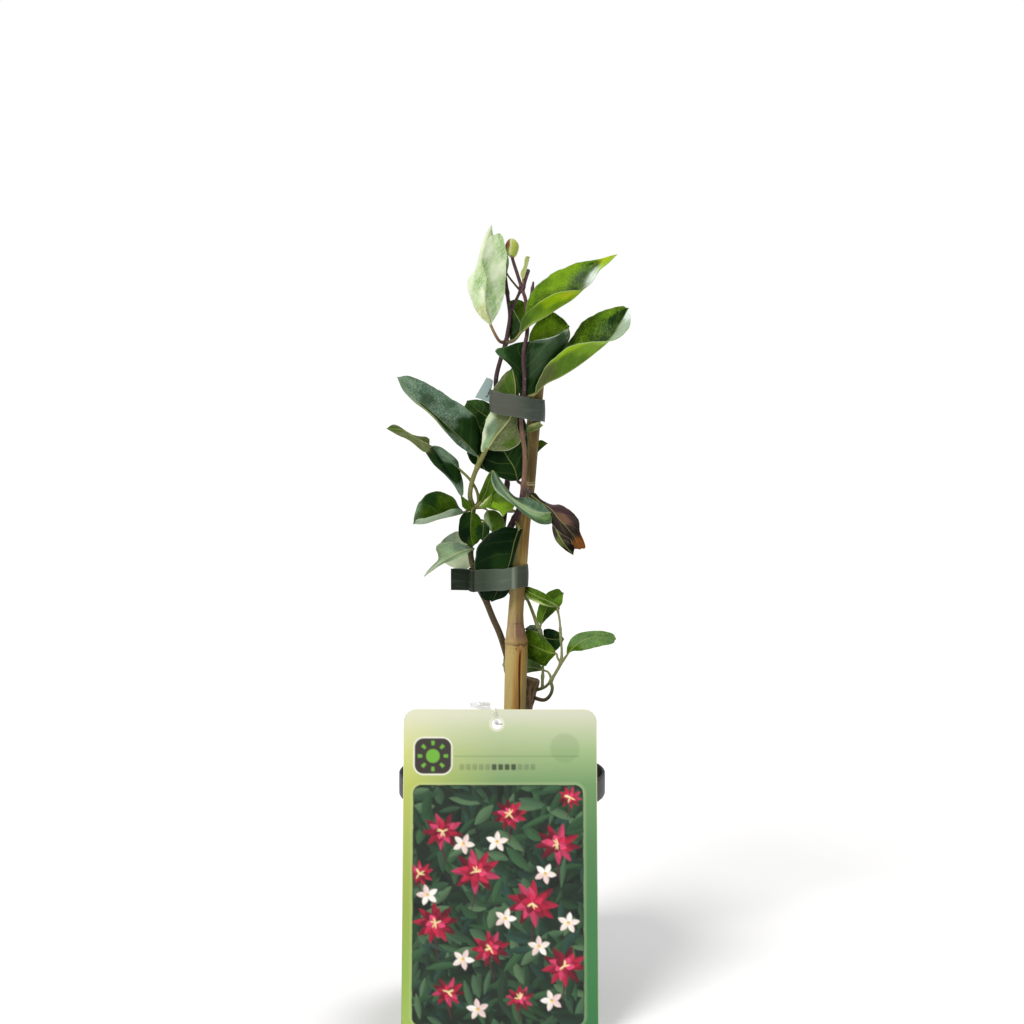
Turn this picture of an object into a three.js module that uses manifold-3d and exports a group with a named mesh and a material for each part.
// A young honeysuckle in a round nursery pot: a cut woody base, three twining leafy stems and a low
// leafy shoot, tied to a bamboo cane with two soft tapes, with a plastic label hung in front on a
// clear strap. Millimetres, +Z up, the viewer at -Y. The origin is the middle of the pot's underside.
import * as THREE from "three";
import { mergeVertices } from "three/addons/utils/BufferGeometryUtils.js";
import Module from "manifold-3d";

const wasm = await Module();
wasm.setup();
const { Manifold, Mesh: SolidMesh } = wasm;
const V = (x, y, z) => new THREE.Vector3(x, y, z);
const radians = THREE.MathUtils.degToRad;

// ---- Driving dimensions -------------------------------------------------------------------------

const GAP = 0.35; // air kept between two nodes that rest on each other
const POT = { height: 112, rimRadius: 52, rimHeight: 12, shoulderRadius: 48.3, footRadius: 38,
  wall: 1.2, floor: 3.2, recess: 1.5, segments: 40 };
const SOIL = { top: 98, segments: 28, lump: 0.9, crown: 2.5 };
const DRAIN = { count: 8, ring: 23.5, radius: 3.4 };

const CANE = {
  path: [V(2.6, 0, 15), V(5, 0, 98), V(6.3, 0, 143), V(7.1, 0, 169), V(7.1, 0, 178), V(6.8, 0, 184.5),
    V(6.9, 0, 192), V(7.9, 0, 204.5), V(9.3, 0.3, 221.5), V(10.5, 0.6, 236.5), V(12.9, 1, 256),
    V(14.3, 1.5, 272), V(15.5, 2, 285), V(17.1, 2, 301), V(18.3, 2, 314)],
  radii: [5.2, 5.3, 5.4, 5.7, 5.65, 4.3, 3.8, 3.7, 3.65, 3.6, 3.5, 3.45, 3.4, 3.35, 3.3],
  bore: 1.6,
  boreDepth: 14,
};
const TRUNK = { path: [V(6, 12, 70), V(7, 12, 110), V(9.6, 12, 142), V(13.9, 12, 158)],
  radii: [6.4, 6.6, 6.1, 6.2] };

const BLADE = { thickness: 0.8, rib: 0.5, narrowest: 0.5, flatUnder: 3, arch: 0.07, rowLength: 5.5,
  plainUnder: 17, crowding: 0.07 };
const STALK = { root: 0.95, neck: 0.7, sides: 5 };

const LABEL = { width: 93, length: 153.5, corner: 6, thickness: 0.7, holeRadius: 2.5,
  holeX: -1.6, holeFromTop: 7, lean: 13.4, top: V(-0.7, -43.8, 151.3) };
const STRAP = { width: 2.6, thickness: 0.6 };
const TAPE = { width: 10.8, thickness: 0.6 };

// ---- Finishes -----------------------------------------------------------------------------------

const finish = (color, roughness) => new THREE.MeshStandardMaterial({ color, roughness, metalness: 0 });
const FINISH = {
  pot: finish(0x17191a, 0.55),
  soil: finish(0x2b1f17, 0.95),
  cane: finish(0xb89a5e, 0.5),
  bark: finish(0x4c3b2e, 0.85),
  leaf: finish(0x2f5a2a, 0.5),
  youngLeaf: finish(0x4f7d33, 0.5),
  tape: finish(0x4d5b50, 0.55),
  label: finish(0x9fc069, 0.35),
  strap: finish(0xe6ebe6, 0.2),
};

// ---- From points to closed solids ---------------------------------------------------------------

function solidOf(positions, triangles) {
  const geometry = new THREE.BufferGeometry();
  geometry.setAttribute("position", new THREE.Float32BufferAttribute(positions, 3));
  if (triangles) geometry.setIndex(triangles);
  return solidOfGeometry(geometry);
}

function solidOfGeometry(geometry) {
  geometry.deleteAttribute("normal");
  geometry.deleteAttribute("uv");
  const merged = mergeVertices(geometry, 1e-4);
  const vertProperties = new Float32Array(merged.attributes.position.array);
  const facing = (triVerts) => new Manifold(new SolidMesh({ numProp: 3, vertProperties, triVerts }));
  const solid = facing(new Uint32Array(merged.index.array));
  return solid.volume() > 0 ? solid : facing(new Uint32Array(merged.index.array).reverse());
}

function nodeOf(name, solid, material) {
  const whole = solid.decompose().sort((a, b) => b.volume() - a.volume())[0];
  const mesh = whole.getMesh();
  const geometry = new THREE.BufferGeometry();
  const positions = new Float32Array(mesh.numVert * 3);
  for (let i = 0; i < mesh.numVert; i++)
    positions.set(mesh.vertProperties.subarray(i * mesh.numProp, i * mesh.numProp + 3), i * 3);
  geometry.setAttribute("position", new THREE.BufferAttribute(positions, 3));
  geometry.setIndex(new THREE.BufferAttribute(mesh.triVerts, 1));
  const made = new THREE.Mesh(geometry, material);
  made.name = name;
  return made;
}

// Rows of points round a path, each row with as many points, become one closed skin with flat ends.
function skin(rows) {
  const across = rows[0].length;
  const positions = rows.flat().flatMap((p) => [p.x, p.y, p.z]);
  const triangles = [];
  for (let i = 0; i + 1 < rows.length; i++)
    for (let j = 0; j < across; j++) {
      const a = i * across + j;
      const b = i * across + ((j + 1) % across);
      triangles.push(a, b, a + across, b, b + across, a + across);
    }
  const last = (rows.length - 1) * across;
  for (let j = 1; j + 1 < across; j++) {
    triangles.push(0, j + 1, j);
    triangles.push(last, last + j, last + j + 1);
  }
  return solidOf(positions, triangles);
}

// The same, closed on itself: the last row joins the first.
function ring(rows) {
  const across = rows[0].length;
  const count = rows.length * across;
  const triangles = [];
  for (let i = 0; i < rows.length; i++)
    for (let j = 0; j < across; j++) {
      const a = i * across;
      const next = (a + across) % count;
      const k = (j + 1) % across;
      triangles.push(a + j, a + k, next + k, a + j, next + k, next + j);
    }
  return solidOf(rows.flat().flatMap((p) => [p.x, p.y, p.z]), triangles);
}

// Points and frames at equal steps along a path; the side direction is carried along without twisting.
function frames(path, steps, firstNormal) {
  const made = [];
  const normal = firstNormal.clone();
  for (let i = 0; i <= steps; i++) {
    const t = i / steps;
    const tangent = path.getTangentAt(t);
    normal.addScaledVector(tangent, -normal.dot(tangent)).normalize();
    made.push({ t, at: path.getPointAt(t), tangent, normal: normal.clone(),
      side: tangent.clone().cross(normal) });
  }
  return made;
}

// A stem: a tube whose radius follows the list, given at its path's own points.
function tube(points, radii, sides, step = 5, grow = 0) {
  const path = new THREE.CatmullRomCurve3(points);
  const lengths = points.map((_, i) => path.getLengths(200)[Math.round((200 * i) / (points.length - 1))]);
  const total = path.getLength();
  const radiusAt = (t) => {
    let i = 1;
    while (i < lengths.length - 1 && lengths[i] < t * total) i++;
    const share = (t * total - lengths[i - 1]) / (lengths[i] - lengths[i - 1]);
    return THREE.MathUtils.lerp(radii[i - 1], radii[i], THREE.MathUtils.clamp(share, 0, 1)) + grow;
  };
  const steps = Math.max(2, Math.round(total / step));
  const rows = frames(path, steps, V(0.31, 1, 0.17)).map(({ t, at, normal, side }) =>
    Array.from({ length: sides }, (_, j) => {
      const turn = (2 * Math.PI * j) / sides;
      return at.clone().addScaledVector(side, Math.cos(turn) * radiusAt(t))
        .addScaledVector(normal, -Math.sin(turn) * radiusAt(t));
    }));
  return skin(rows);
}

// ---- Leaves -------------------------------------------------------------------------------------

// A leaf is its stalk and one thin blade. The blade hangs on three curves that meet at its base and
// its tip: the rib, and the left and right edges as seen from the upper face with the tip up. Each
// half arches a little between rib and edge, and the rib stands out on the underside.

const curveOf = (points) => new THREE.CatmullRomCurve3(points.map((p) => V(...p)), false, "centripetal");

function bladeGrid({ rib, left, right }, rows, shares) {
  const ribCurve = curveOf(rib);
  const edges = [left, right].map((edge) => curveOf([rib[0], ...edge, rib.at(-1)]));
  const reachAt = (edge, t) => edge.getPointAt(t).sub(ribCurve.getPointAt(t));
  const grid = [];
  for (let i = 0; i <= rows; i++) {
    const t = i / rows - BLADE.crowding * Math.sin((2 * Math.PI * i) / rows);
    const beside = THREE.MathUtils.clamp(t, 0.6 / rows, 1 - 0.6 / rows);
    const middle = ribCurve.getPointAt(t);
    const along = ribCurve.getTangentAt(t);
    const across = reachAt(edges[1], beside).sub(reachAt(edges[0], beside));
    across.addScaledVector(along, -across.dot(along)).normalize();
    const up = across.clone().cross(along);
    grid.push(shares.map((share) => {
      const side = Math.sign(share);
      const reach = reachAt(edges[side > 0 ? 1 : 0], t);
      const width = Math.max(BLADE.narrowest, reach.length());
      const flat = across.clone().multiplyScalar(side * width);
      const out = flat.lerp(reach, Math.min(1, width / BLADE.flatUnder)).setLength(width);
      const arch = 4 * BLADE.arch * width * Math.abs(share) * (1 - Math.abs(share));
      return middle.clone().addScaledVector(out, Math.abs(share)).addScaledVector(up, arch);
    }));
  }
  return grid;
}

function bladeSolid(leaf, length) {
  const rows = Math.max(4, Math.round(length / BLADE.rowLength));
  const shares = length > BLADE.plainUnder ? [-1, -0.5, 0, 0.5, 1] : [-1, 0, 1];
  const grid = bladeGrid(leaf, rows, shares);
  const tops = [];
  const bottoms = [];
  grid.forEach((row, i) => row.forEach((point, j) => {
    const across = row[Math.min(j + 1, row.length - 1)].clone().sub(row[Math.max(j - 1, 0)]);
    const along = grid[Math.min(i + 1, rows)][j].clone().sub(grid[Math.max(i - 1, 0)][j]);
    const up = across.cross(along).normalize();
    const under = BLADE.thickness / 2 + (shares[j] === 0 ? BLADE.rib : 0);
    tops.push(point.clone().addScaledVector(up, BLADE.thickness / 2));
    bottoms.push(point.clone().addScaledVector(up, -under));
  }));
  const wide = shares.length;
  const below = tops.length;
  const triangles = [];
  const quad = (a, b, c, d) => triangles.push(a, b, c, a, c, d);
  for (let i = 0; i < rows; i++) {
    for (let j = 0; j + 1 < wide; j++) {
      const a = i * wide + j;
      quad(a, a + 1, a + 1 + wide, a + wide);
      triangles.push(a + below, a + 1 + wide + below, a + 1 + below);
      triangles.push(a + below, a + wide + below, a + 1 + wide + below);
    }
    const left = i * wide;
    const right = left + wide - 1;
    quad(left, left + wide, left + wide + below, left + below);
    quad(right, right + below, right + wide + below, right + wide);
  }
  for (let j = 0; j + 1 < wide; j++) {
    const tip = rows * wide + j;
    quad(j, j + below, j + 1 + below, j + 1);
    quad(tip, tip + 1, tip + 1 + below, tip + below);
  }
  return solidOf([...tops, ...bottoms].flatMap((p) => [p.x, p.y, p.z]), triangles);
}

// The stalk starts on the stem's own axis and runs a little way into the blade.
function leafSolids(leaf) {
  const rib = curveOf(leaf.rib);
  const length = rib.getLength();
  const route = [...leaf.stalk.map((p) => V(...p)), rib.getPointAt(0), rib.getPointAt(1.5 / length)];
  const size = THREE.MathUtils.clamp(length / 40, 0.7, 1);
  const radii = route.map((_, i) => size * (i === 0 ? STALK.root : STALK.neck));
  return [tube(route, radii, STALK.sides, 4), bladeSolid(leaf, length)];
}

// A leafy stem: its stems and leaves joined in one solid, cut clear of what it springs from.
function leafyStem(stems, leaves, clearOf, others = []) {
  const solids = stems.map(({ path, radii, sides = 6 }) => tube(path, radii, sides));
  return Manifold.union([...solids, ...leaves.flatMap(leafSolids), ...others])
    .subtract(Manifold.union(clearOf));
}

// ---- The stems ----------------------------------------------------------------------------------

const LEFT_STEM = { radii: [1.9, 1.75, 1.7, 1.65, 1.6, 1.6, 1.55, 1.5, 1.45, 1.4, 1.35, 1.35, 1.25, 1.2,
    1.2, 1.0],
  path: [V(8.6, 12, 144.6), V(4.5, 10.4, 160.4), V(1.2, 7.6, 173.2), V(-1.3, 5, 181.2), V(-4.6, 3, 189),
    V(-8.1, 1, 198), V(-11.5, -1, 205), V(-13.2, -2, 211.5), V(-15.2, -3, 219), V(-16, -2, 226.6),
    V(-15.5, 0, 235.5), V(-14.5, 0, 245), V(-15.9, -3, 251), V(-14.9, -5, 258.4), V(-12.4, -6, 265.4),
    V(-7.6, -8, 275.6)] };

const RIGHT_STEM = { radii: [1.3, 1.3, 1.3, 1.3, 1.3, 1.25, 1.2, 1.2, 1.15, 1.15, 1.15, 1.1, 1.1, 1.1,
    1.1, 1.05, 1, 1, 0.95, 0.9, 0.85],
  path: [V(-8.1, 1, 198), V(-4.5, 1, 208.5), V(-1, 2, 221), V(3, 1, 232.8), V(6.6, -3.5, 240.2),
    V(8.6, -6.5, 244.5), V(10.2, -7.5, 251), V(10.8, -7.5, 257.6), V(11.2, -7.5, 264), V(11.2, -7.5, 274.4),
    V(10.2, -7.5, 281.4), V(9.4, -8, 289.3), V(10.7, -10, 301.2), V(11.2, -12.5, 310), V(10.6, -14, 319),
    V(11, -13.5, 325), V(12.3, -10.5, 331), V(12.5, -6.5, 337), V(12.2, -4, 342.4), V(11.7, -3, 348.4),
    V(9.9, -2, 354)] };
const RIGHT_TIPS = [
  { path: [V(10.1, -2, 353), V(11.8, -2.5, 359), V(13.2, -2.5, 363.6)], radii: [0.9, 0.9, 1.05] },
  { path: [V(12.3, -5, 340), V(14.3, -3.5, 349), V(15.6, -2, 357.5)], radii: [0.9, 0.9, 0.5] },
  { path: [V(9.9, -2, 354), V(7.5, -2, 361.5), V(5.2, -1.5, 369), V(5.1, -1.5, 371)],
    radii: [0.9, 0.85, 0.8, 0.8] },
];
const BUD = { at: V(4.9, -1.5, 373.8), profile: [[0, -5.2], [1.6, -4.4], [2.8, -2.4], [3.3, 0], [2.9, 2.6],
  [1.5, 4.6], [0, 5.4]], lean: -4 };

const MIDDLE_STEM = { radii: [1.3, 1.3, 1.3, 1.3, 1.3, 1.25, 1.25, 1.2, 1.2, 1.15, 1.15, 1.1, 1.1, 1.05, 1,
    0.95, 0.9, 0.7],
  path: [V(-6.9, 1.7, 195), V(-7.5, 5, 200), V(-5.6, 6, 210), V(-1.5, 6.5, 223), V(0.5, 6, 235),
    V(1.8, 5, 246), V(2.6, 4.6, 256.7), V(2, 5, 268.7), V(-0.5, 5, 283.7), V(-2.3, 3.6, 298.8),
    V(-3, 2, 308.8), V(-0.3, 0, 320.3), V(1.9, -0.6, 327.2), V(2.8, 0, 332), V(4, 1, 340.5),
    V(3.1, 1, 348.4), V(2.1, 2, 356.4), V(1.4, 2.6, 363)] };
const MIDDLE_TWIG = { path: [V(4, 1, 341), V(7, 2.4, 348.4), V(9.4, 2.4, 353.4)], radii: [0.8, 0.75, 0.7] };

const LOW_SHOOT = { radii: [1.3, 1.25, 1.15, 1.05, 1.1, 0.95, 1.05, 0.7, 0.65, 0.6, 0.55],
  path: [V(16, 11, 147), V(21.4, 7, 146.6), V(24.3, 4, 149.6), V(25.4, 3, 153.4), V(24.7, 2, 157.2),
    V(26.7, 1, 161), V(29.6, 0, 167), V(30, 0, 173.3), V(29.6, 0, 178.4), V(28.9, 0, 188.5),
    V(27.6, -1, 195.3)] };
const LOW_TWIGS = [
  { path: [V(16, 11, 150.6), V(21.6, 6, 153.4), V(24.7, 2, 157.2)], radii: [1.2, 1, 0.9] },
  { path: [V(20.4, 7.2, 152.6), V(20.5, 8.3, 157), V(20.7, 8, 163), V(20.1, 8, 172), V(19.2, 7, 180),
    V(18.4, 6, 184.5)], radii: [1, 0.9, 0.8, 0.8, 0.75, 0.7] },
];

// ---- The leaves, stem by stem -------------------------------------------------------------------

const MIDDLE_LEAVES = {
  top_pale: {
    stalk: [[2, -0.5, 327.5], [-1, -2.5, 328]],
    rib: [[-5.5, -4, 336], [-8, -7.5, 345], [-8, -9.5, 353.5], [-7.5, -10, 358.5], [-9.5, -9.5, 366.5],
      [-8, -8, 375.5], [-5, -4, 385]],
    left: [[-2, -4, 342], [1, -5.5, 350], [2, -6, 362.5], [2, -5.5, 373.5], [-1, -5, 381],
      [-4, -5, 379.5]],
    right: [[-11, -4.5, 340.5], [-14.5, -5.5, 347], [-17, -6, 357.5], [-13.5, -7, 362.5],
      [-10.5, -6.5, 372], [-7, -5, 381.5]],
  },
  upper_right: {
    stalk: [[2, -0.5, 327.5], [6, -7, 328.5]],
    rib: [[9.5, -12, 332.5], [14.5, -17, 336.5], [21.5, -20, 340.5], [27.5, -21, 344.5],
      [34, -21, 348.5], [40, -19, 354], [45, -16, 360.5], [49, -13, 366], [56.5, -10, 370]],
    left: [[11.5, -10, 341.5], [14.5, -9, 351.5], [18.5, -8, 356.5], [28, -9, 362.5], [36.5, -10, 366.5],
      [45, -11, 368], [50.5, -11, 368.5]],
    right: [[10, -15, 338.5], [16, -23, 345.5], [24, -29, 350], [32.5, -31, 352.5], [39, -29, 352],
      [44, -25, 355], [47.5, -19, 362]],
  },
  upper_folded: {
    stalk: [[2, -0.5, 327]],
    rib: [[5, 2, 328], [3.5, 2.5, 332.5], [3.5, 3, 339.5], [3.5, 3.5, 344.5], [3.5, 5, 348.5]],
    left: [[8.5, -1, 331], [9, -2, 337.5], [6.5, 0, 342], [4.5, 3, 346]],
    right: [[10, 8, 332.5], [13, 9, 341], [12.5, 9, 346.5], [8.5, 8, 348.5]],
  },
  top_behind: {
    stalk: [[9.5, 2.5, 353], [7, 3, 355.5]],
    rib: [[2.5, 5, 361.5], [0.5, 8, 369], [-1.5, 9, 377.5]],
    left: [[-0.5, 7, 365.5], [-2.5, 9, 371.5]],
    right: [[3.5, 7, 367.5], [1.5, 9, 374.5]],
  },
  behind_dark: {
    stalk: [[2.5, 4.5, 256], [5.5, 1, 257]],
    rib: [[8, -2, 258.5], [6, -3.5, 265.5], [2, -4, 272], [-2.5, -4, 278.5], [-5, -3.5, 283.5]],
    left: [[3.5, -3, 259], [-3, -4.5, 261.5], [-8, -4.5, 264], [-11, -3.5, 270.5], [-9, -3, 278.5]],
    right: [[10.5, -4.5, 263.5], [11, -4.5, 272.5], [9, -4.5, 278.5], [2.5, -4, 283]],
  },
  behind_cane: {
    stalk: [[2, 5, 263]],
    rib: [[10.5, 9, 268], [17, 10.5, 274.5], [23, 8, 277]],
    left: [[13, 10, 274.5], [19.5, 9.5, 278.5]],
    right: [[14, 10.5, 268], [18.5, 9.5, 273]],
  },
  behind_upper_left: {
    stalk: [[-0.5, 5, 283.5]],
    rib: [[-5.5, 6, 289], [-12, 6, 293.5], [-17.5, 4, 298.5]],
    left: [[-9.5, 5.5, 282.5], [-14.5, 4, 290], [-19, 2.5, 294.5]],
    right: [[-6.5, 6, 297], [-12.5, 5.5, 299]],
  },
  behind_left: {
    stalk: [[2, 5, 264]],
    rib: [[-4, 4, 271], [-11, 2.5, 271.5], [-17.5, 0, 272.5]],
    left: [[-6.5, 2, 263.5], [-11, 1, 265], [-15.5, 0, 268]],
    right: [[-6.5, 4, 282], [-13, 3, 285.5], [-16, 1, 280]],
  },
};
const RIGHT_LEAVES = {
  right: {
    stalk: [[10.5, -8, 300.5]],
    rib: [[16, -10, 302], [21.5, -13, 307.5], [28.5, -16, 311], [36.5, -19, 316], [45, -21, 322.5],
      [52.5, -20, 329], [58, -16, 337], [62.5, -11.5, 343.5]],
    left: [[19.5, -7, 310.5], [26.5, -7.5, 321], [33.5, -8, 328.5], [37.5, -9, 334.5], [44, -9, 340],
      [52, -9.5, 343], [58.5, -10.5, 344.5]],
    right: [[17.5, -16, 308], [22, -22, 316], [27.5, -27, 322], [33.5, -30, 326], [43, -32, 327.5],
      [53, -30, 329], [60, -25, 332], [63, -17, 339]],
  },
  centre_front: {
    stalk: [[11, -8.5, 299.5]],
    rib: [[10.5, -9.5, 303.5], [11, -9.5, 309.5], [11.5, -10, 316.5], [12.5, -10.5, 322.5],
      [13.5, -11, 328]],
    left: [[7.5, -9.5, 305.5], [7, -10, 311.5], [3.5, -11, 317], [-3.5, -12, 323.5], [2, -12, 325.5],
      [8.5, -11.5, 327.5]],
    right: [[15.5, -9.5, 305.5], [20, -11, 311.5], [25, -13, 318], [30.5, -15, 324.5], [33, -16, 329.5],
      [33, -16, 334.5], [28.5, -15, 331.5], [22.5, -13, 329.5]],
  },
  centre_back: {
    stalk: [[11, -8.5, 299.5]],
    rib: [[12.5, -7.5, 308], [19, -8, 322], [25, -9, 329.5], [29, -11, 333.5], [33, -15, 335.5]],
    left: [[13, -6.5, 318], [13.5, -6.5, 329.5], [17, -6.5, 337.5], [23.5, -7, 342.5],
      [29.5, -10, 339.5]],
    right: [[19, -9, 312], [25.5, -12, 321], [30.5, -15, 327], [33, -17, 331.5]],
  },
  withered: {
    stalk: [[11.5, -8, 256.5]],
    rib: [[13.5, -14, 253.5], [18.5, -18, 249.5], [24, -20.5, 246.5], [27, -21.5, 243],
      [31.5, -21.5, 238.5], [35, -20, 234.5], [40, -17, 227.5]],
    left: [[16, -16, 254], [19, -17, 250.5], [24, -18, 247.5], [29, -17.5, 247], [33.5, -17, 243.5],
      [36.5, -16.5, 239], [37.5, -17, 234.5]],
    right: [[13.5, -16, 251], [17, -19, 250], [22.5, -23.5, 243.5], [25.5, -24, 239], [29, -24, 236],
      [33.5, -21.5, 231.5], [36, -19, 228]],
  },
  withered_fold: {
    stalk: [[23, -22, 244]],
    rib: [[25, -23, 240.5], [27, -22.5, 235.5], [30, -22, 230], [35, -20, 223.5]],
    left: [[28.5, -22, 236.5], [32.5, -21, 232.5], [35.5, -19.5, 227.5]],
    right: [[25, -21, 236], [26.5, -21, 231], [30.5, -20.5, 227]],
  },
  tucked: {
    stalk: [[11, -7.5, 281.5]],
    rib: [[11.5, -4.5, 284], [15.5, -3.5, 285.5], [20.5, -3, 286.5]],
    left: [[13.5, -4, 286.5], [18.5, -3.5, 288]],
    right: [[13.5, -4, 283], [18, -3.5, 284.5]],
  },
  hanging_dark: {
    stalk: [[6.5, -3.5, 240]],
    rib: [[8.5, -6.5, 235.5], [6, -9, 228.5], [4, -10, 219.5], [0.5, -10, 210], [-5, -9, 199]],
    left: [[10, -5.5, 235.5], [8, -7.5, 228], [6, -8, 220.5], [5, -8.5, 210.5], [2.5, -9, 202.5]],
    right: [[0.5, -8, 236], [-7.5, -9.5, 232], [-12, -10, 226.5], [-13.5, -10, 218], [-12, -10, 207],
      [-10, -9, 201]],
  },
  curl: {
    stalk: [[11, -2, 354.5]],
    rib: [[10.5, -3, 357.5], [11, -4, 363.5], [12.5, -4, 368], [13.5, -3, 369.5]],
    left: [[9.5, -3.5, 362], [11.5, -4, 366.5]],
    right: [[12, -4, 362.5], [13.5, -4, 367]],
  },
};
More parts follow.
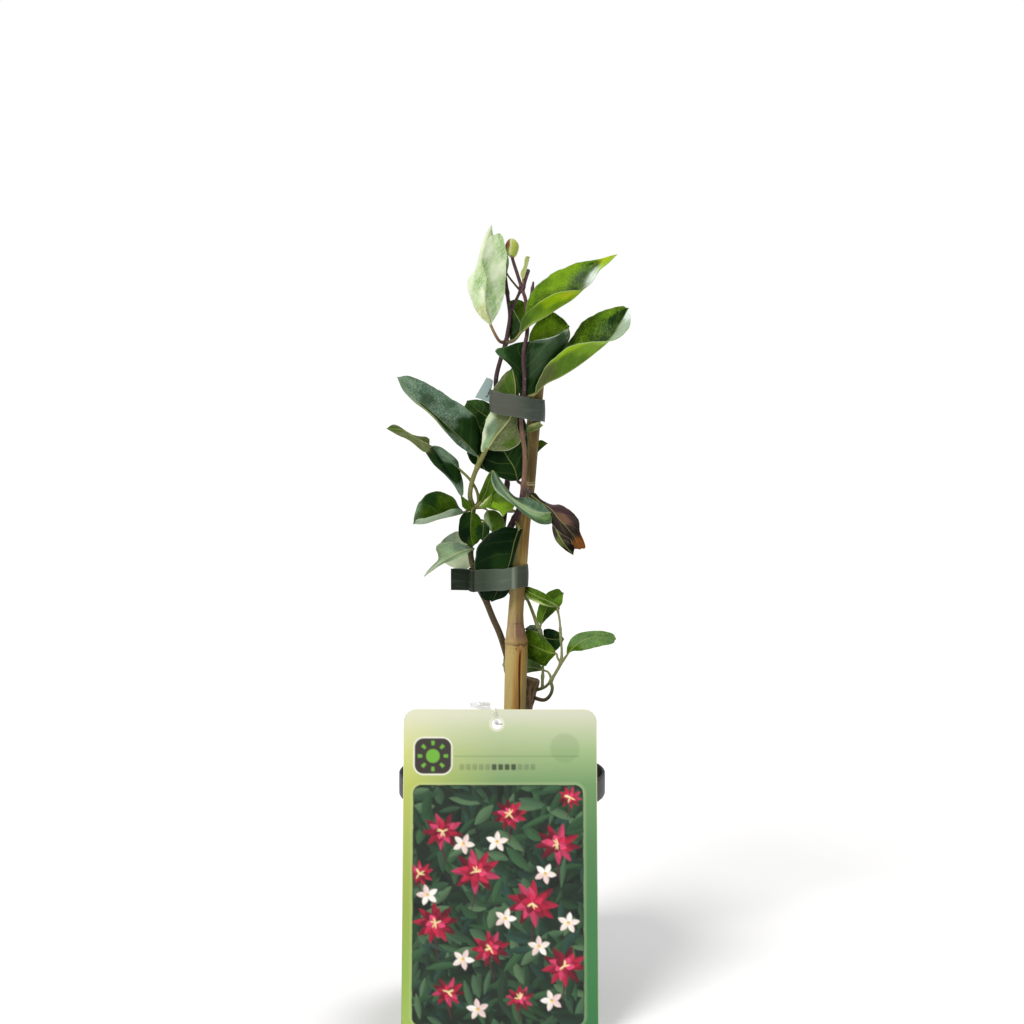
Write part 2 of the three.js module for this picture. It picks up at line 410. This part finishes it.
const LEFT_LEAVES = {
  tied_pale: {
    stalk: [[-12, -6, 266]],
    rib: [[-7.5, -8, 274.5], [-2.5, -9, 282], [3.5, -9, 289.5], [6, -9, 296.5], [6.5, -8.5, 306],
      [5, -8, 315]],
    left: [[-3, -8, 274], [3.5, -7, 274.5], [9, -6, 278], [7.5, -6, 287.5], [8, -6, 298.5], [8, -7, 309]],
    right: [[-10, -8.5, 273.5], [-10, -9, 278.5], [-8, -9.5, 289], [-4, -9, 294], [-3.5, -9, 304.5],
      [0, -8.5, 312.5]],
  },
  left_upper: {
    stalk: [[-12, -6, 266]],
    rib: [[-11.5, -5.5, 270.5], [-16, -9, 276], [-23, -12, 283], [-30.5, -14, 290], [-38.5, -15, 297],
      [-45.5, -14, 304], [-51.5, -11, 310.5]],
    left: [[-15, -9, 272.5], [-21.5, -13, 277], [-29, -16, 285.5], [-36.5, -17, 294], [-43, -16, 298.5],
      [-48, -13.5, 303.5]],
    right: [[-10, -5, 278.5], [-12, -5, 288.5], [-15.5, -6, 293], [-25, -8, 300], [-36.5, -9.5, 307],
      [-45.5, -10.5, 311]],
  },
  left_twisted: {
    stalk: [[-14.5, 0, 245], [-12, -0.5, 247.5], [-12.5, -2, 253.5], [-16, -3, 259.5]],
    rib: [[-21, -4, 264.5], [-25, -6.5, 268], [-30, -8, 271], [-34.5, -9, 276], [-41, -9.5, 279.5],
      [-48.5, -8.5, 284], [-57, -7, 285]],
    left: [[-19.5, -4, 257.5], [-20, -6, 251], [-24, -7, 257.5], [-30, -8, 264], [-34.5, -8, 268.5],
      [-37, -7, 272.5], [-36, -6, 280.5], [-42.5, -7, 281], [-53.5, -6.5, 287]],
    right: [[-22, -5, 269], [-26, -8, 273], [-30, -10, 276], [-34.5, -12, 276.5], [-37, -12, 273.5],
      [-45, -11, 279], [-52.5, -8.5, 282.5]],
  },
  left_round: {
    stalk: [[-14.5, 0, 245]],
    rib: [[-18.5, -5, 243.5], [-23, -10, 242.5], [-31, -15, 241], [-38, -18, 239], [-43.5, -19, 239]],
    left: [[-21.5, -12, 245.5], [-26, -17.5, 245.5], [-31, -21, 243.5], [-37.5, -22.5, 242],
      [-41.5, -21.5, 241]],
    right: [[-21.5, -2, 245.5], [-24, -4, 250], [-29.5, -7, 253.5], [-36.5, -10, 253],
      [-41, -13.5, 248.5], [-43, -17, 242.5]],
  },
  lime_left: {
    stalk: [[-14.5, 0, 245]],
    rib: [[-14, -2.5, 245], [-16.5, -4, 246], [-18, -5.5, 248.5], [-20.5, -6.5, 252]],
    left: [[-16, -4.5, 244], [-19.5, -6.5, 246], [-20, -6.5, 249]],
    right: [[-15, -4, 247.5], [-18, -5.5, 250]],
  },
  lime_small: {
    stalk: [[-14.5, 0, 245]],
    rib: [[-11.5, -2, 245.5], [-9, -5, 246.5], [-6.5, -7, 249], [-5.5, -8, 254]],
    left: [[-10, -5, 247.5], [-7.5, -6.5, 251]],
    right: [[-8, -5.5, 245.5], [-6, -8, 247.5], [-5, -8.5, 251]],
  },
  lime_star: {
    stalk: [[-14.5, 0, 245]],
    rib: [[-9, -3, 245.5], [-5.5, -7, 248.5], [-1.5, -10, 248], [0.5, -12, 245.5], [0, -13, 242]],
    left: [[-4, -8, 252], [1, -11, 250], [4, -13.5, 246.5], [2, -13.5, 244.5]],
    right: [[-6.5, -6, 245.5], [-3, -10.5, 246], [-1.5, -12.5, 244.5]],
  },
  lime_right: {
    stalk: [[-14.5, 0, 245]],
    rib: [[-9, 1, 245.5], [-3, 0.5, 245.5], [2.5, -1.5, 245], [7.5, -4, 244]],
    left: [[-5, 1, 247], [1.5, -1, 246]],
    right: [[-4, 0.5, 244], [2, -1.5, 243], [6, -3, 243]],
  },
  arching: {
    stalk: [[-14.5, 0, 245]],
    rib: [[-11, -3, 247.5], [-8, -7, 253.5], [-6, -11, 260.5], [-4.5, -15, 264.5], [-1.5, -20, 259],
      [3, -23, 253.5], [9.5, -24, 248.5], [16.5, -25, 245], [24, -26, 245]],
    left: [[-11.5, -5, 251], [-9.5, -8, 256.5], [-7, -11, 262], [-5, -15, 264.5], [-5, -21, 260.5],
      [-3, -24.5, 255.5], [1.5, -26, 252], [7, -26, 248], [12, -25, 243.5], [18.5, -24.5, 239.5],
      [24, -25, 239.5]],
    right: [[-7.5, -6, 249], [-3.5, -9, 255], [-2.5, -12, 261.5], [-3, -15.5, 263.5], [-1, -18, 261],
      [2.5, -20, 256.5], [7, -21, 252], [13.5, -22, 252], [18.5, -23.5, 249.5], [22.5, -25, 246.5]],
  },
  hanging_round: {
    stalk: [[-14.5, 0, 245]],
    rib: [[-15, -4, 244], [-15.5, -8, 239], [-15.5, -10, 233], [-14.5, -10, 226.5]],
    left: [[-11.5, -7, 241.5], [-9.5, -9, 235.5], [-11.5, -10, 229]],
    right: [[-20, -7, 242], [-21.5, -10, 236.5], [-20.5, -10.5, 230]],
  },
  dark_small: {
    stalk: [[-15, 0, 239.5]],
    rib: [[-9, -3, 238.5], [-9, -6, 235], [-10, -7, 229.5]],
    left: [[-6.5, -5, 236], [-6.5, -6.5, 231.5]],
    right: [[-12, -6, 235.5], [-12, -7, 231.5]],
  },
  grey_behind: {
    stalk: [[-14.5, 0, 245], [-10.5, 0.5, 245]],
    rib: [[-7.5, 1, 244], [-6.5, 0, 239.5], [-5, -0.5, 233]],
    left: [[-9, 1.5, 241], [-8, 1, 236]],
    right: [[-3, 1, 243.5], [0.5, 0.5, 240], [1, 0, 234.5]],
  },
  pale_twisted: {
    stalk: [[-16, -2.5, 223.5]],
    rib: [[-14, -4.5, 225], [-19, -8.5, 224.5], [-25, -11, 222], [-30.5, -13, 219], [-38.5, -12, 212]],
    left: [[-18, -8, 227], [-22.5, -10.5, 229], [-28.5, -13.5, 229], [-32.5, -15.5, 227],
      [-31, -14, 221.5]],
    right: [[-18, -8.5, 222.5], [-24, -10, 220], [-30, -12, 218]],
  },
  pale_behind: {
    stalk: [[-16, -2, 224.5]],
    rib: [[-15.5, 1.5, 226], [-21, 3, 224.5], [-26, 3, 223], [-32, 2, 226.5]],
    left: [[-18, 3, 232], [-22.5, 3, 233], [-27.5, 3, 230.5]],
    right: [[-15.5, 2.5, 218], [-17, 3, 214], [-23.5, 3, 214.5], [-28.5, 3, 217]],
  },
};
const LOW_LEAVES = {
  low_right: {
    stalk: [[30, 0, 167]],
    rib: [[33, -1, 170], [37, -4, 175.5], [42.5, -6.5, 179.5], [49.5, -7, 181], [56.5, -6, 179.5]],
    left: [[33.5, -2, 174.5], [37, -4, 180.5], [43.5, -6, 183.5], [50, -6.5, 184], [55.5, -6, 182.5]],
    right: [[35.5, -3.5, 172], [41, -7.5, 174], [47.5, -9, 176.5], [54, -8, 178]],
  },
  low_top: {
    stalk: [[28.5, -0.5, 194]],
    rib: [[28, -1.5, 195.5], [24, -3.5, 199], [19.5, -5, 201], [15.5, -5.5, 203], [12.5, -5, 205]],
    left: [[24, -5.5, 196.5], [19.5, -7.5, 198], [15, -7.5, 199.5], [12.5, -6.5, 201.5]],
    right: [[26.5, -2.5, 199], [22, -3.5, 202.5], [17, -4.5, 205]],
  },
  low_top_right: {
    stalk: [[18.5, 6, 183]],
    rib: [[19.5, 5, 185], [21, 4, 190.5], [24, 3, 196.5], [31, 2, 202]],
    left: [[17.5, 4, 189.5], [19.5, 3.5, 197.5], [23.5, 2.5, 202.5], [28.5, 2, 204]],
    right: [[22, 4, 188], [26.5, 3, 192.5], [30, 2, 196.5]],
  },
  low_behind_cane: {
    stalk: [[18.5, 6, 183], [16, 7, 190]],
    rib: [[12.5, 9, 198], [7, 11, 201.5], [2, 12, 203]],
    left: [[10, 10.5, 196], [4.5, 12, 199]],
    right: [[10.5, 10, 203], [5.5, 12, 205]],
  },
  low_middle: {
    stalk: [[29.5, -0.5, 167.5], [28, 0.5, 169]],
    rib: [[25.5, 1, 170.5], [21.5, 2.5, 171.5], [17.5, 5, 173], [12, 8.5, 175.5]],
    left: [[23.5, 2.5, 167], [22.5, 3.5, 163], [18, 6, 164], [13.5, 8.5, 168]],
    right: [[24, 2.5, 172.5], [20.5, 4.5, 176.5], [16.5, 6.5, 180], [13.5, 8.5, 179.5]],
  },
  low_dark: {
    stalk: [[19, 8, 175.5]],
    rib: [[22, 9, 177], [26.5, 9, 175.5], [31.5, 8, 176]],
    left: [[24.5, 9, 180.5], [29, 8.5, 179.5]],
    right: [[24.5, 9, 168.5], [28.5, 8.5, 170], [31, 8, 173.5]],
  },
  low_pale: {
    stalk: [[25, 2, 158], [23.5, 5, 161]],
    rib: [[21, 9, 161.5], [15.5, 15, 162], [9, 18, 162], [0, 17, 163]],
    left: [[15.5, 15.5, 164], [8.5, 18.5, 166.5], [2, 17.5, 168]],
    right: [[15.5, 15, 159.5], [8.5, 17.5, 157], [2, 16.5, 158]],
  },
  low_speckled: {
    stalk: [[18.5, 8, 180.5]],
    rib: [[21, 8.5, 179], [17, 10, 181], [11.5, 11, 182.5]],
    left: [[19.5, 8.5, 176.5], [14.5, 10, 179]],
    right: [[19.5, 9.5, 183.5], [14.5, 10.5, 184.5]],
  },
};

// ---- Pot, soil, cane and base -------------------------------------------------------------------

function lathe(profile, segments) {
  const geometry = new THREE.LatheGeometry(profile.map(([r, z]) => new THREE.Vector2(r, z)), segments);
  return solidOfGeometry(geometry.rotateX(Math.PI / 2));
}

function cylinder(radius, low, high, x, y, sides) {
  const geometry = new THREE.CylinderGeometry(radius, radius, high - low, sides).rotateX(Math.PI / 2);
  return solidOfGeometry(geometry.translate(x, y, (low + high) / 2));
}

// The young leaves at the growing tip are still closed over each other.
function bud() {
  const { at, profile, lean } = BUD;
  const points = profile.map(([r, z]) => new THREE.Vector2(r, z));
  const geometry = new THREE.LatheGeometry(points, 8).rotateX(Math.PI / 2).rotateY(radians(lean));
  return solidOfGeometry(geometry.translate(at.x, at.y, at.z));
}

function pot() {
  const { height, rimRadius, rimHeight, shoulderRadius, footRadius, wall, floor, recess } = POT;
  const shoulder = height - rimHeight;
  const shell = lathe([[0, 0], [16, 0], [17, recess], [30, recess], [31, 0], [footRadius - 1.5, 0],
    [footRadius, recess], [shoulderRadius, shoulder], [rimRadius - 0.8, shoulder + 0.3],
    [rimRadius, shoulder + 1], [rimRadius, height - 0.8], [rimRadius - 0.7, height],
    [rimRadius - wall, height], [rimRadius - wall - 0.4, height - 0.8],
    [rimRadius - wall - 0.6, shoulder + 2.5], [shoulderRadius - wall, shoulder - 0.5],
    [footRadius - wall, floor], [0, floor]], POT.segments);
  const drains = Array.from({ length: DRAIN.count }, (_, i) => {
    const turn = (2 * Math.PI * (i + 0.5)) / DRAIN.count;
    return cylinder(DRAIN.radius, -1, floor + 1, DRAIN.ring * Math.cos(turn),
      DRAIN.ring * Math.sin(turn), 12);
  });
  return shell.subtract(Manifold.union(drains));
}

// The root ball fills the pot; its top is lumpy and rises a little towards the plant.
function soil() {
  const { top, segments, lump, crown } = SOIL;
  const wallInside = (z) => THREE.MathUtils.mapLinear(z, POT.floor, POT.height - POT.rimHeight - 0.5,
    POT.footRadius - POT.wall, POT.shoulderRadius - POT.wall) - GAP - 0.15;
  const rings = [0.84, 0.66, 0.46, 0.24].map((share) => [share * wallInside(top), top + 0.01]);
  const bottom = POT.floor + GAP;
  const profile = [[0, bottom], [wallInside(bottom), bottom], [wallInside(top), top], ...rings, [0, top]];
  const body = new THREE.LatheGeometry(profile.map(([r, z]) => new THREE.Vector2(r, z)), segments)
    .rotateX(Math.PI / 2);
  const at = body.attributes.position;
  const reach = wallInside(top);
  for (let i = 0; i < at.count; i++) {
    const x = at.getX(i);
    const y = at.getY(i);
    const inward = 1 - Math.hypot(x, y) / reach;
    const lumps = Math.sin(0.41 * x + 1.3) * Math.cos(0.37 * y) + Math.sin(0.23 * (x - y));
    if (at.getZ(i) >= top && inward > 0.05)
      at.setZ(i, top + crown * inward + lump * lumps * Math.min(1, 3 * inward));
  }
  const holes = [tube(CANE.path, CANE.radii, 12, 9, GAP + 0.15),
    tube(TRUNK.path, TRUNK.radii, 10, 8, GAP + 0.15),
    cylinder(CANE.radii[0] + GAP, CANE.path[0].z - GAP - 0.4, CANE.path[0].z + 2,
      CANE.path[0].x, 0, 12),
    cylinder(TRUNK.radii[0] + GAP, TRUNK.path[0].z - GAP - 0.4, TRUNK.path[0].z + 2,
      TRUNK.path[0].x, 12, 12)];
  return solidOfGeometry(body).subtract(Manifold.union(holes));
}

function cane() {
  const top = CANE.path.at(-1);
  const bore = tube([top.clone().add(V(-0.8, 0, -CANE.boreDepth)), top.clone().add(V(0.2, 0, 2))],
    [CANE.bore, CANE.bore], 8, 20);
  return tube(CANE.path, CANE.radii, 12, 7).subtract(bore);
}

// The woody base is sawn off aslant at the top.
function trunk() {
  const saw = solidOfGeometry(new THREE.BoxGeometry(40, 40, 20).rotateY(radians(14))
    .rotateX(radians(-8)).translate(13.9, 12, 166.6));
  return tube(TRUNK.path, TRUNK.radii, 10, 6).subtract(saw);
}

// ---- Tapes, label and strap ---------------------------------------------------------------------

// A tape is a closed band round the bundle and a tail where its two ends are stapled together.
// `loop` is the band's middle line seen from above, and the band's middle height is level + slope x.
// `tail` gives the lower and upper end of each of the tail's cross lines, from its free end.
function tape({ loop, level, slope, tail }) {
  const path = new THREE.CatmullRomCurve3(loop.map(([x, y]) => V(x, y, 0)), true);
  const steps = 40;
  const half = TAPE.thickness / 2;
  const section = [[-1, -1], [1, -1], [1, 1], [-1, 1]];
  const rows = Array.from({ length: steps }, (_, i) => {
    const at = path.getPointAt(i / steps);
    const out = path.getTangentAt(i / steps).cross(V(0, 0, 1)).setLength(half);
    return section.map(([a, b]) => at.clone().addScaledVector(out, a)
      .setZ(level + slope * at.x + (b * TAPE.width) / 2));
  });
  const flap = skin(tail.map(([low, high]) => section.map(([a, b]) =>
    V(...(b < 0 ? low : high)).add(V(0.2 * a * half, a * half, 0)))));
  return ring(rows).add(flap);
}

const UPPER_TAPE = { level: 297.6, slope: -0.195,
  loop: [[-5.6, -7], [-4.8, -10.6], [1, -12.4], [8, -13], [13.4, -11.4], [17.6, -6.8], [20.8, -1.2],
    [21.1, 3.1], [19, 6], [12, 6.9], [4, 6.6], [-2, 5.8], [-5.1, 3], [-5.9, -2]],
  tail: [[[-13.4, 1, 300.2], [-7.6, 1, 310.2]], [[-10, 0, 299.2], [-4.6, 0.5, 308.6]],
    [[-5.8, -0.6, 297.6], [-5.8, 0.2, 303.6]]] };
const LOWER_TAPE = { level: 210.5, slope: 0.065,
  loop: [[-16.4, -3.5], [-15.7, -8.2], [-12.8, -11.2], [-5, -12.1], [2, -11.8], [5.8, -10.4], [9.2, -6.6],
    [12.2, -2.8], [13, 0.6], [11.6, 3.7], [7.8, 5.6], [1.5, 8.2], [-5.5, 8.8], [-11, 6], [-15.3, 1.2]],
  tail: [[[-26.6, -3, 204.2], [-26.6, -3, 215]], [[-21, -2.4, 204], [-21, -2.4, 214.8]],
    [[-16.2, -2, 203.8], [-16.2, -2, 214.4]]] };

// The card hangs from its hole and leans on the pot's rim; its own frame has its top edge at z = 0.
function label() {
  const { width, length, corner, thickness, holeRadius, holeX, holeFromTop, lean, top } = LABEL;
  const w = width / 2;
  const card = new THREE.Shape();
  card.moveTo(-w + corner, -length);
  card.lineTo(w - corner, -length);
  card.absarc(w - corner, -length + corner, corner, -Math.PI / 2, 0);
  card.lineTo(w, -corner);
  card.absarc(w - corner, -corner, corner, 0, Math.PI / 2);
  card.lineTo(-w + corner, 0);
  card.absarc(-w + corner, -corner, corner, Math.PI / 2, Math.PI);
  card.lineTo(-w, -length + corner);
  card.absarc(-w + corner, -length + corner, corner, Math.PI, 1.5 * Math.PI);
  card.holes.push(new THREE.Path().absarc(holeX, -holeFromTop, holeRadius, 0, 2 * Math.PI, true));
  const geometry = new THREE.ExtrudeGeometry(card,
    { depth: thickness, bevelEnabled: false, curveSegments: 6 });
  geometry.translate(0, 0, -thickness).rotateX(Math.PI / 2).rotateX(radians(-lean));
  return solidOfGeometry(geometry.translate(top.x, top.y, top.z));
}

// The strap runs through the label's hole and round the cane and the woody base.
// Each row is a point of its route and the direction of its width there.
const STRAP_ROUTE = [
  [V(-2.3, -44.2, 144.5), V(1, 0, 0)], [V(-2.7, -46.6, 146.4), V(1, 0, 0.2)],
  [V(-3.6, -45.8, 150.2), V(1, 0, 0.5)], [V(-5.6, -43.4, 153.2), V(0.8, 0, 0.8)],
  [V(-10, -38, 153), V(0, 0, 1)], [V(-15.2, -28, 150.6), V(0, 0, 1)],
  [V(-13.5, -12, 147), V(0, 0, 1)], [V(-7, 4, 142.5), V(0, 0, 1)], [V(-1, 15, 139.5), V(0, 0, 1)],
  [V(6.5, 19.2, 138), V(0, 0, 1)], [V(14, 17, 137.4), V(0, 0, 1)], [V(17, 8, 138), V(0, 0, 1)],
  [V(13, -8, 139.6), V(0, 0, 1)], [V(6, -25, 141.6), V(0, 0, 1)], [V(-0.2, -38.5, 143.2), V(0.9, 0, 0.4)],
];

function strap() {
  const path = new THREE.CatmullRomCurve3(STRAP_ROUTE.map(([at]) => at), true);
  const widths = new THREE.CatmullRomCurve3(STRAP_ROUTE.map(([, width]) => width), true);
  const steps = 60;
  return ring(Array.from({ length: steps }, (_, i) => {
    const tangent = path.getTangent(i / steps);
    const width = widths.getPoint(i / steps);
    width.addScaledVector(tangent, -width.dot(tangent)).setLength(STRAP.width / 2);
    const depth = tangent.cross(width).setLength(STRAP.thickness / 2);
    return [[-1, -1], [1, -1], [1, 1], [-1, 1]].map(([a, b]) =>
      path.getPoint(i / steps).addScaledVector(width, a).addScaledVector(depth, b));
  }));
}

// ---- The plant ----------------------------------------------------------------------------------

const springsFrom = ({ path, radii }) => tube(path, radii, 10, 3, GAP);
const vine = new THREE.Group();
vine.add(
  nodeOf("pot", pot(), FINISH.pot),
  nodeOf("potting_soil", soil(), FINISH.soil),
  nodeOf("bamboo_cane", cane(), FINISH.cane),
  nodeOf("woody_base", trunk(), FINISH.bark),
  nodeOf("left_leafy_stem", leafyStem([LEFT_STEM], Object.values(LEFT_LEAVES), [springsFrom(TRUNK)]),
    FINISH.leaf),
  nodeOf("right_leafy_stem", leafyStem([RIGHT_STEM, ...RIGHT_TIPS], Object.values(RIGHT_LEAVES),
    [springsFrom(LEFT_STEM)], [bud()]), FINISH.leaf),
  nodeOf("middle_leafy_stem", leafyStem([MIDDLE_STEM, MIDDLE_TWIG], Object.values(MIDDLE_LEAVES),
    [springsFrom(LEFT_STEM)]), FINISH.leaf),
  nodeOf("low_leafy_shoot", leafyStem([LOW_SHOOT, ...LOW_TWIGS], Object.values(LOW_LEAVES),
    [springsFrom(TRUNK)]), FINISH.youngLeaf),
  nodeOf("upper_tape", tape(UPPER_TAPE), FINISH.tape),
  nodeOf("lower_tape", tape(LOWER_TAPE), FINISH.tape),
  nodeOf("label_card", label(), FINISH.label),
  nodeOf("label_strap", strap(), FINISH.strap),
);

export default vine;
